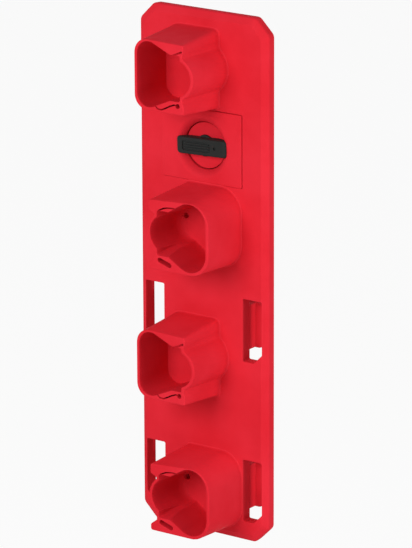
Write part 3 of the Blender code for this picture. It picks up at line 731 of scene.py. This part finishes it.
def back_plate():
    """The tray with its ribs, slots, window and screw holes, all edges rounded."""
    plate = loft("plate_shell", [(plate_outline(inset), y) for inset, y in plate_profile()])
    behind = plate_back + overrun
    bound = prism("bound", plate_outline(plate_wall), skin_back - overrun, behind + overrun)
    cells = combined(cell_cutters(behind), [bound], "INTERSECT")
    foot_places = [place for centre in foot_centres for place in foot_screws(centre)]
    cells = cut(cells, rods("bosses", foot_places, skin_back - overrun, behind + overrun,
                            screw_hole_radius + boss_wall))
    slots = [plug("slot", slot_outline(side, centre), plate_front, behind, slot_edge_round)
             for centre in foot_centres for side in (-1, 1)]
    through = [place for spot in socket_places for place in socket_screws(*spot)]
    blind = rib_back - foot_screw_bite - screw_tip_space
    shallow = skin_back - bezel_screw_bite - screw_tip_space
    plate = cut(plate, cells, prism("relief", plate_outline(edge_slope_width), rib_back, behind),
                *slots,
                plug("window", bezel_outline(gap, bezel_round + gap), plate_front, behind,
                     slot_edge_round / 2),
                prism("recess", bezel_outline(bezel_flange_margin + turning_gap), skin_back,
                      behind),
                rods("through", through, plate_front + gap, skin_back + gap),
                rods("blind", foot_places, blind, behind),
                rods("shallow", bezel_screws(), shallow, skin_back + gap))
    show(plate, "back_plate")


def outer_outline(wide, top, corner_top, bottom, wide_round, corner, corner_round, dent_top,
                  flare_top, dent_low, flare_low, neck, lobe_reach, lobe_radius, soft):
    """A socket's outer outline with its lobe towards +X, anticlockwise from the low corner."""
    lobe = (lobe_reach - lobe_radius, socket_lobe_lift)
    swing = acos((neck - lobe[0]) / lobe_radius)
    lobe_end = lobe_radius * sin(swing)
    high_dent = (neck, socket_lobe_lift + lobe_end + dent_top)
    high_flare = (corner, high_dent[1] + flare_top)
    low_dent = (neck, socket_lobe_lift - lobe_end - dent_low)
    low_flare = (corner, low_dent[1] - flare_low)
    low_corner = (corner, -bottom)
    high_corner = (corner, corner_top)
    low_wide = (-wide, -bottom)
    high_wide = (-wide, top)
    stretches = (round_corner(low_wide, low_corner, low_flare, corner_round),
                 [low_flare], [low_dent],
                 arc(lobe, lobe_radius, -swing, swing, lobe_steps),
                 [high_dent], [high_flare],
                 round_corner(high_flare, high_corner, high_wide, corner_round),
                 round_corner(high_corner, high_wide, low_wide, wide_round, wide_steps),
                 round_corner(high_wide, low_wide, low_corner, wide_round, wide_steps))
    return linked(stretches, soft)


def cavity_hub(rim, wide_round):
    """The centre of the wide side's upper corner, one wall inside the rim."""
    half_height = rim["bottom"] + socket_lobe_lift - socket_wall
    return wide_round - rim["wide"] + socket_wall, half_height - wide_round


def cavity_outline(rim, wide_round):
    """The opening for the battery's stem, one wall inside the rim: a wide side, two flanks,
    a lobe and two pockets."""
    hub = cavity_hub(rim, wide_round)
    lobe_reach = rim["lobe_reach"] - socket_wall
    lobe_radius = rim["lobe_radius"] - socket_wall
    pocket_reach = rim["neck"] - pocket_wall
    lobe = (lobe_reach - lobe_radius, 0)
    span = hypot(lobe[0] - hub[0], hub[1])
    lean = atan2(hub[1], lobe[0] - hub[0]) - asin((lobe_radius - wide_round) / span)
    normal = pi / 2 - lean
    flank = (hub[0] + wide_round * cos(normal), hub[1] + wide_round * sin(normal))
    pocket_start = flank[0] + (flank[1] - pocket_half_height) / tan(lean)
    swing = acos((pocket_reach - lobe[0]) / lobe_radius)
    lobe_side = arc(lobe, lobe_radius, -swing, swing, lobe_steps)
    pocket = round_corner(lobe_side[-1], (pocket_reach, pocket_half_height),
                          (pocket_start, pocket_half_height), pocket_round)
    far_side = arc(hub, wide_round, normal, pi, wide_steps)
    end = [(pocket_start, pocket_half_height)]
    stretches = (lobe_side, pocket, end, far_side, mirrored(far_side), mirrored(end),
                 mirrored(pocket))
    return [(x, z + socket_lobe_lift) for x, z in linked(stretches, soft_radius)]


def stem_outline(reach, crease, hub, hub_radius):
    """The opening below its pockets: a lobe that meets two flanks in creases, a wide side."""
    middle = (reach ** 2 - crease[0] ** 2 - crease[1] ** 2) / (2 * (reach - crease[0]))
    swing = atan2(crease[1], crease[0] - middle)
    lobe_side = arc((middle, 0), reach - middle, -swing, swing, lobe_steps)
    across, up = hub[0] - crease[0], hub[1] - crease[1]
    heading = atan2(up, across) % (2 * pi)
    normal = heading - asin(hub_radius / hypot(across, up)) - pi / 2
    far_side = arc(hub, hub_radius, normal, pi, wide_steps)
    stretches = (lobe_side, far_side, mirrored(far_side))
    return [(x, z + socket_lobe_lift) for x, z in linked(stretches, soft_radius)]


def placed(outline, side, centre):
    """An outline of a socket in its own frame, turned to its side and lifted to its centre."""
    points = [(side * x, centre + z) for x, z in outline]
    return points if side > 0 else points[::-1]


def placed_loft(name, rings, side, centre):
    """A closed body through rings in a socket's own frame, put in its place."""
    return loft(name, [(placed(outline, side, centre), y) for outline, y in rings])


def slit(name, path, width, depth, side, centre):
    """A slot with round ends sunk into the rim."""
    outline = placed(channel(path, width), side, centre)
    return plug(name, outline, socket_rim, socket_rim + depth, slit_edge_round)


def right_cutters(centre):
    """A right socket's straight opening, a thin latch slit that ends in a round hole, and a
    notch at the upper corner."""
    cavity = cavity_outline(right_rim, right_cavity_round)
    floor = edge_rings(cavity, socket_floor_front, -1, socket_floor_round, -1)[::-1]
    hollow = [*mouth(cavity, socket_rim, socket_mouth_round), *floor]
    hole = placed((right_slit_hole,), 1, centre)[0]
    return (placed_loft("hollow", hollow, 1, centre),
            slit("slit", right_slit, slit_width, slit_depth, 1, centre),
            plug("slit_hole", circle(hole, right_slit_hole_radius), socket_rim,
                 socket_rim + slit_depth, slit_edge_round),
            slit("notch", right_notch, right_notch_width, right_notch_depth, 1, centre))


def left_cutters(centre):
    """A left socket's opening, whose lobe draws in towards a wide fillet at the floor, two
    pockets beside the lobe that run out with depth, a thin latch slit above the opening and
    a wide slot below it."""
    hub = cavity_hub(left_rim, left_cavity_round)
    high = stem_outline(left_rim["lobe_reach"] - socket_wall, left_crease, hub,
                        left_cavity_round)
    deep = stem_outline(left_deep_reach, left_deep_crease, hub, left_cavity_round)
    low = stem_outline(left_floor_reach, left_floor_crease, hub,
                       left_cavity_round - left_floor_fillet)
    rings = mouth(high, socket_rim, socket_mouth_round)
    rings += [(blended(deep, low, share), socket_floor_front - left_fillet_height * rise)
              for rise, share in quarter_round(fillet_steps)]
    tools = [placed_loft("hollow", rings, -1, centre)]
    reach = left_rim["neck"] - pocket_wall
    height = pocket_half_height - left_pocket_start
    middle = (pocket_half_height + left_pocket_start) / 2
    for sz in (-1, 1):
        outline = rounded_box((reach / 2, socket_lobe_lift + sz * middle), reach, height,
                              pocket_round)
        drawn = [(x - left_pocket_draw_x, z - sz * left_pocket_draw_z) for x, z in outline]
        rings = [*mouth(outline, socket_rim, socket_mouth_round),
                 (drawn, socket_rim + left_pocket_depth)]
        tools.append(placed_loft("pocket", rings, -1, centre))
    return (*tools, slit("slit", left_slit, slit_width, slit_depth, -1, centre),
            slit("slot", left_slot, left_slot_width, left_slot_depth, -1, centre))


def socket(number, centre, side):
    """One battery socket: a drafted cup with a round foot and rim, latch slits and holes."""
    rim, base, cutters = ((right_rim, right_base, right_cutters) if side > 0
                          else (left_rim, left_base, left_cutters))
    rim, base = outer_outline(**rim), outer_outline(**base)
    lean = [(b[0] - a[0], b[1] - a[1]) for a, b in zip(base, rim)]
    rings = []
    for outline, y in edge_rings(base, socket_base, -1, socket_foot_round, 1):
        fall = (socket_base - y) / (socket_base - socket_rim)
        drafted = [(p[0] + d[0] * fall, p[1] + d[1] * fall) for p, d in zip(outline, lean)]
        rings.append((drafted, y))
    rings += edge_rings(rim, socket_rim, 1, socket_rim_round, -1)[::-1]
    cup = placed_loft(f"socket_{number}_cup", rings, side, centre)
    hole = placed((floor_hole,), side, centre)[0]
    cup = cut(cup, *cutters(centre),
              plug("floor_hole", circle(hole, floor_hole_radius), socket_floor_front,
                   socket_base - floor_hole_skin, slit_edge_round))
    show(cup, f"socket_{number}")


def foot(name, centre):
    """A hook foot: a web on the plate's ribs and a wider flange, cored from behind."""
    flange = rounded_box((0, centre), foot_flange_width, foot_height, foot_flange_round)
    body = slab(name + "_hook", flange, -foot_flange_thickness, 0, foot_edge_round)
    web = rounded_box((0, centre), 2 * slot_inner, foot_height - 2 * foot_web_margin,
                      foot_edge_round)
    body = join(body, prism("web", web, rib_back + gap, -foot_flange_thickness / 2))
    cores = [slab("core", rounded_box((side * foot_core_x, centre), foot_core_width,
                                      foot_core_height, foot_core_round),
                  -foot_core_depth, overrun, foot_edge_round) for side in (-1, 1)]
    places = foot_screws(centre)
    sinks = [slab("sink", circle(place, screw_head_radius + gap),
                  -screw_head_height - foot_screw_head_sink, overrun, slit_edge_round)
             for place in places]
    body = cut(body, *cores, *sinks, rods("holes", places, rib_back - overrun, overrun))
    show(body, name)


def lock_bezel():
    """The raised pad with the lock's funnel, held by a flange behind the plate's skin."""
    pad = bezel_outline(0)
    rings = edge_rings(pad, bezel_front, 1, bezel_edge_round, -1)
    body = loft("bezel_pad", [*rings, (pad, flange_seat + bezel_flange_thickness / 2)])
    body = join(body, prism("flange", bezel_outline(bezel_flange_margin), flange_seat,
                            flange_back),
                rod("cup", (0, lock_centre), funnel_throat_radius + bezel_cup_wall, skin_back,
                    bezel_back, round_sides))
    bore = knob_stem_radius + gap
    fall = disc_front - funnel_step - bezel_front
    wide = funnel_mouth_radius - funnel_throat_radius
    above = bezel_front - overrun
    shares = [k / bowl_steps for k in range(bowl_steps + 1)]
    bowl = [(funnel_mouth_radius - wide * share, bezel_front + fall * share ** bowl_power)
            for share in shares]
    seat = rounded_path((bowl[-2], bowl[-1], (funnel_throat_radius, bezel_floor_front)),
                        (funnel_seat_round,))
    profile = [(0, above), (funnel_mouth_radius, above), *bowl[:-2], *seat,
               (bore, bezel_floor_front), (bore, bezel_back + overrun),
               (0, bezel_back + overrun)]
    funnel = turned("funnel", profile, ring_sides, (0, lock_centre))
    body = cut(body, funnel, rods("flange_holes", bezel_screws(), flange_seat - gap,
                                  flange_back + overrun))
    show(body, "lock_bezel")


def show_turning(thing, node, finish="red_plastic"):
    """Make a piece of a scratch body around the Y axis: it goes to the lock's axis, with the
    knob's rest tilt."""
    tilt = Matrix.Rotation(-knob_rest_tilt, 4, "Y")
    thing.data.transform(Matrix.Translation((0, 0, lock_centre)) @ tilt)
    show(thing, node, finish, "lock")


def flat_ring(name, inner, outer, front, back, radius, sides=ring_sides):
    """A ring around the Y axis, its outer edges round where the radius isn't zero."""
    corners = ((inner, front), (outer, front), (outer, back), (inner, back))
    return turned(name, rounded_path(corners, (radius, radius)), sides, closed=True)


def lock_disc():
    disc = flat_ring("lock_plate", knob_stem_radius + gap, funnel_throat_radius - disc_crevice,
                     disc_front, disc_back, disc_edge_round)
    show_turning(disc, "lock_disc")


def knob_reach(radius):
    """Half the length of a bar as high as the grip that just turns inside a circle."""
    return sqrt(radius ** 2 - (knob_height / 2) ** 2)


def lock_knob():
    """The black turn knob: a bar with round edges and ribbed panel, hub, stem and square."""
    half = knob_reach(funnel_mouth_radius - knob_end_clearance)
    foot_half = knob_reach(funnel_throat_radius - knob_foot_clearance)
    front = plate_front - knob_lift
    back = disc_front - gap
    bar = rounded_box((0, 0), 2 * half, knob_height, knob_corner_round)
    low = rounded_box((0, 0), 2 * foot_half, knob_height, knob_corner_round)
    rings = []
    for beside, behind in quarter_round():
        outline = rounded_box((0, 0), 2 * (half - knob_end_round * beside),
                              knob_height - 2 * knob_front_round * beside,
                              knob_corner_round - knob_front_round * beside)
        rings.append((outline, front + knob_round_depth * behind))
    knob = loft("lock_grip", [*rings, (bar, front + knob_end_depth), (low, back)])
    hub_front = plate_front + knob_hub_sink
    hub_path = rounded_path(((0, hub_front), (knob_hub_radius, hub_front),
                             (knob_hub_radius, back), (0, back)), (knob_hub_round, 0))
    square = rounded_box((0, 0), knob_square, knob_square, knob_detail_round)
    knob = join(knob, turned("hub", hub_path, round_sides),
                rod("stem", (0, 0), knob_stem_radius, hub_front + knob_hub_round, cam_front,
                    round_sides),
                prism("square", square, hub_front + knob_hub_round, cam_back - gap))
    outline = rounded_box((knob_panel_shift, 0), knob_panel_length, knob_panel_height,
                          knob_panel_round)
    panel = plug("panel", outline, front, front + knob_panel_depth, knob_detail_round)
    pitch = knob_panel_height / (knob_ridge_count + 1)
    reach = knob_panel_length / 2 - pitch
    ridges = []
    for k in range(knob_ridge_count):
        z = (k + 1) * pitch - knob_panel_height / 2
        outline = channel(((knob_panel_shift - reach, z), (knob_panel_shift + reach, z)),
                          knob_ridge_height)
        ridges.append(slab("ridge", outline, front + knob_ridge_drop,
                           front + knob_panel_depth + overrun, knob_detail_round))
    dot = plug("dot", circle((knob_dot_x, 0), knob_dot_radius), front,
               front + knob_dot_depth, knob_detail_round)
    pilot = rod("pilot", (0, 0), lock_screw_radius + gap,
                cam_back - gap - lock_screw_bite - screw_tip_space, cam_back + overrun)
    knob = cut(knob, cut(panel, *ridges), dot, pilot)
    show_turning(knob, "lock_knob", "black_plastic")


def lock_cam():
    """The latch bar that turns behind the wall rail, driven by the stem's square."""
    reach = (cam_length - cam_width) / 2
    cam = slab("latch_bar", channel(((-reach, 0), (reach, 0)), cam_width), cam_front, cam_back,
               cam_edge_round)
    width = knob_square + 2 * gap
    hole = rounded_box((0, 0), width, width, knob_detail_round)
    cam = cut(cam, prism("hole", hole, cam_front - overrun, cam_back + overrun))
    show_turning(cam, "lock_cam", "black_plastic")


def lock_washer():
    washer = flat_ring("washer", lock_screw_radius + gap, washer_radius, washer_front,
                       washer_back, washer_edge_round, round_sides)
    show_turning(washer, "lock_washer", "zinc_steel")


def lock_spring():
    """A wave spring between the disc and the bezel's floor."""
    spring = flat_ring("wave_spring", spring_inner_radius, spring_outer_radius,
                       -spring_thickness / 2, spring_thickness / 2, 0)
    for vertex in spring.data.vertices:
        angle = atan2(vertex.co.z, vertex.co.x)
        vertex.co.y += spring_wave * cos(spring_wave_count * angle)
    spring.data.transform(Matrix.Translation((0, spring_middle, lock_centre)))
    show(spring, "lock_spring", "zinc_steel")


def screw_body(radius, length, head_radius, head_height):
    """A pan-head screw with a cross recess, its head seated at y = 0, shank towards -Y."""
    crown = head_radius - screw_head_round
    corners = ((radius, 0), (head_radius, 0), (head_radius, head_height), (crown / 2, head_height))
    head = rounded_path(corners, (screw_seat_round, screw_head_round))
    turns = int((length - 2 * radius) / screw_thread_pitch)
    root = radius - screw_thread_depth
    shank = [(0, -length), (root / 2, -length)]
    for k in range(turns):
        y = 2 * radius - length + k * screw_thread_pitch
        shank += [(root, y), (radius, y + screw_thread_pitch / 2)]
    body = turned("screw", [*shank, (root, -screw_thread_pitch / 2), *head, (0, head_height)],
                  hole_sides)
    arms = []
    for wide, tall in ((2 * screw_recess_reach, screw_recess_width),
                       (screw_recess_width, 2 * screw_recess_reach)):
        outline = rounded_box((0, 0), wide, tall, screw_recess_round, recess_steps)
        arms.append(prism("arm", outline, head_height - screw_recess_depth,
                          head_height + overrun))
    return applied(cut(body, join(*arms)))


def screws(node, places, seat, tip, head_height=screw_head_height):
    """Screws of one shape, with their heads seated at one level and their tips at another."""
    mesh = screw_body(screw_radius, seat - tip, screw_head_radius, head_height)
    for number, (x, z) in enumerate(places, 1):
        thing = add_object(f"{node}_{number}_pan_head", mesh.copy())
        thing.data.transform(Matrix.Translation((x, seat, z)))
        show(thing, f"{node}_{number}", "zinc_steel")


def add_screws():
    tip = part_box("socket_1_screw_1")[0].y
    for number, spot in enumerate(socket_places, 1):
        screws(f"socket_{number}_screw", socket_screws(*spot), flange_seat, tip)
    seat = gap - screw_head_height - foot_screw_head_sink
    for name, centre in feet:
        screws(name + "_screw", foot_screws(centre), seat, rib_back - foot_screw_bite)
    screws("bezel_screw", bezel_screws(), flange_back + gap, skin_back - bezel_screw_bite,
           bezel_screw_head_height)
    length = lock_head_front - (cam_back - gap - lock_screw_bite)
    mesh = screw_body(lock_screw_radius, length, lock_screw_head_radius, lock_screw_head_height)
    mesh.transform(Matrix.Translation((0, lock_head_front, 0)))
    show_turning(add_object("cam_screw", mesh), "lock_screw", "zinc_steel")


def fill(tree, node, inputs):
    """Give a node's inputs, by name or number, a value each or another node's output."""
    for key, value in inputs.items():
        if isinstance(value, bpy.types.NodeSocket):
            tree.links.new(value, node.inputs[key])
        else:
            node.inputs[key].default_value = value


def added(tree, kind, inputs=None):
    node = tree.nodes.new("ShaderNode" + kind)
    fill(tree, node, inputs or {})
    return node


def new_material(name):
    """A material, its node tree, its shader and the piece's own coordinates."""
    material = bpy.data.materials.new(name)
    material.use_nodes = True
    tree = material.node_tree
    place = added(tree, "TexCoord").outputs["Object"]
    return material, tree, tree.nodes["Principled BSDF"], place


def noise(tree, place, scale, detail=3.0, roughness=0.55):
    texture = added(tree, "TexNoise", {"Vector": place, "Scale": scale, "Detail": detail,
                                       "Roughness": roughness})
    return texture.outputs["Fac"]


def ramp(tree, value, to_range, from_range=unit_range):
    """The value carried from one range to another."""
    node = added(tree, "MapRange", {"Value": value,
                                    "From Min": from_range[0], "From Max": from_range[1],
                                    "To Min": to_range[0], "To Max": to_range[1]})
    return node.outputs["Result"]


def mixed(tree, share, first, last):
    """Two colours mixed by a share; each is an output or a colour."""
    first, last = ((*c, 1) if isinstance(c, tuple) else c for c in (first, last))
    node = tree.nodes.new("ShaderNodeMix")
    node.data_type = "RGBA"
    fill(tree, node, {"Factor": share, mix_first: first, mix_last: last})
    return node.outputs[mix_result]


def bump(tree, height, strength, distance, **more):
    """A normal raised by a height, with any further inputs of its node."""
    inputs = {"Strength": strength, "Distance": distance, "Height": height, **more}
    return added(tree, "Bump", inputs).outputs["Normal"]


def edge_wear_and_highlight(tree):
    """How far the surface bends within a radius: 0 on flats, more along edges; the mask for edges
    lightened as wear and painted highlight.
    """
    bevel = added(tree, "Bevel", {"Radius": edge_wear_and_highlight_radius})
    bevel.samples = edge_wear_and_highlight_samples
    flat = added(tree, "NewGeometry").outputs["Normal"]
    dot = added(tree, "VectorMath", {0: bevel.outputs["Normal"], 1: flat})
    dot.operation = "DOT_PRODUCT"
    return ramp(tree, dot.outputs["Value"], unit_range, edge_wear_and_highlight_bend)


def moulded(name, deep, pale, edge, rough, specular):
    """Moulded plastic: clouded colour, fine spark grain, faint flow, and edges lightened partly as
    wear and partly as a painted highlight.
    """
    material, tree, shader, place = new_material(name)
    cloud = noise(tree, place, cloud_scale)
    speck = noise(tree, place, speck_scale, detail=2.0)
    grain = noise(tree, place, grain_scale, detail=2.0, roughness=0.5)
    flow = noise(tree, place, flow_scale, detail=4.0)
    base = mixed(tree, ramp(tree, cloud, unit_range, mottle_range), deep, pale)
    base = mixed(tree, ramp(tree, speck, (0.0, speck_share), speck_range), base, edge)
    # edges lightened towards the edge colour: partly wear, partly a painted highlight
    base = mixed(tree, ramp(tree, edge_wear_and_highlight(tree), (0.0, edge_wear_and_highlight_share)), base, edge)
    waves = bump(tree, flow, *flow_bump)
    fill(tree, shader, {"Base Color": base, "Roughness": ramp(tree, flow, rough, flow_range),
                        "Normal": bump(tree, grain, *grain_bump, Normal=waves),
                        "Specular IOR Level": specular})
    return material


def zinc(name):
    """Bright zinc plate: mottled blue-grey with fine turning marks."""
    material, tree, shader, place = new_material(name)
    mottle = noise(tree, place, zinc_mottle_scale, detail=4.0)
    marks = noise(tree, place, zinc_mark_scale, detail=2.0)
    share = ramp(tree, mottle, unit_range, mottle_range)
    fill(tree, shader, {"Base Color": mixed(tree, share, zinc_deep, zinc_pale),
                        "Roughness": ramp(tree, marks, zinc_rough, flow_range),
                        "Normal": bump(tree, marks, *zinc_bump), "Metallic": 1.0})
    return material


def seen_ray(tree):
    """1 for rays seen directly, in reflections and through glass, else 0."""
    rays = added(tree, "LightPath").outputs
    seen = rays["Is Camera Ray"]
    for kind in ("Is Glossy Ray", "Is Transmission Ray"):
        larger = added(tree, "Math", {0: seen, 1: rays[kind]})
        larger.operation = "MAXIMUM"
        seen = larger.outputs["Value"]
    return seen


def white_ground(name):
    """A pale matt floor that the camera sees as white, with some of its shadows kept."""
    material, tree, shader, place = new_material(name)
    pale = mixed(tree, noise(tree, place, floor_mottle_scale), floor_deep, floor_pale)
    fill(tree, shader, {"Base Color": pale, "Roughness": floor_rough,
                        "Specular IOR Level": floor_specular})
    glow = added(tree, "Emission", {"Strength": background_level})
    blend = added(tree, "MixShader", {"Fac": ramp(tree, seen_ray(tree), (0.0, 1 - shadow_share)),
                                      1: shader.outputs["BSDF"], 2: glow.outputs["Emission"]})
    fill(tree, tree.nodes["Material Output"], {"Surface": blend.outputs["Shader"]})
    return material


def studio():
    scene = bpy.context.scene
    scene.view_settings.view_transform = "Standard"
    bm = bmesh.new()
    bmesh.ops.create_grid(bm, x_segments=1, y_segments=1, size=floor_size)
    floor = add_object("floor", mesh_from(bm))
    floor.data.materials.append(white_ground("pale_ground"))
    floor.location.z = plate_bottom - floor_drop
    world = bpy.data.worlds.new("studio")
    world.use_nodes = True
    tree = world.node_tree
    level = ramp(tree, seen_ray(tree), (ambient_level, background_level))
    fill(tree, tree.nodes["Background"], {"Color": (1, 1, 1, 1), "Strength": level})
    scene.world = world


def lamp(name, place, size, power):
    """A round soft lamp that faces the middle of the plate."""
    light = bpy.data.lights.new(name, "AREA")
    light.shape = "DISK"
    light.size = size
    light.energy = power
    thing = add_object(name, light)
    thing.location = place
    heading = Vector((0, 0, plate_middle)) - Vector(place)
    thing.rotation_euler = heading.to_track_quat("-Z", "Y").to_euler()


def camera():
    lens = bpy.data.cameras.new("camera")
    lens.sensor_width = sensor_size
    lens.lens = camera_focal_pixels / image_height * sensor_size
    lens.clip_end = camera_reach
    thing = add_object("camera", lens)
    turn = (Matrix.Rotation(camera_azimuth, 4, "Z")
            @ Matrix.Rotation(pi / 2 - camera_elevation, 4, "X")
            @ Matrix.Rotation(camera_roll, 4, "Z"))
    thing.matrix_world = Matrix.Translation(camera_place) @ turn
    bpy.context.scene.camera = thing


finishes = {"red_plastic": moulded("red_moulding", **red_look),
            "black_plastic": moulded("black_moulding", **black_look),
            "zinc_steel": zinc("zinc_plate")}

camera()
studio()
lamp("key", **key_lamp)
lamp("side", **side_lamp)

back_plate()
for number, spot in enumerate(socket_places, 1):
    socket(number, *spot)
for spot in feet:
    foot(*spot)
lock_bezel()
lock_disc()
lock_knob()
lock_cam()
lock_washer()
lock_spring()
add_screws()
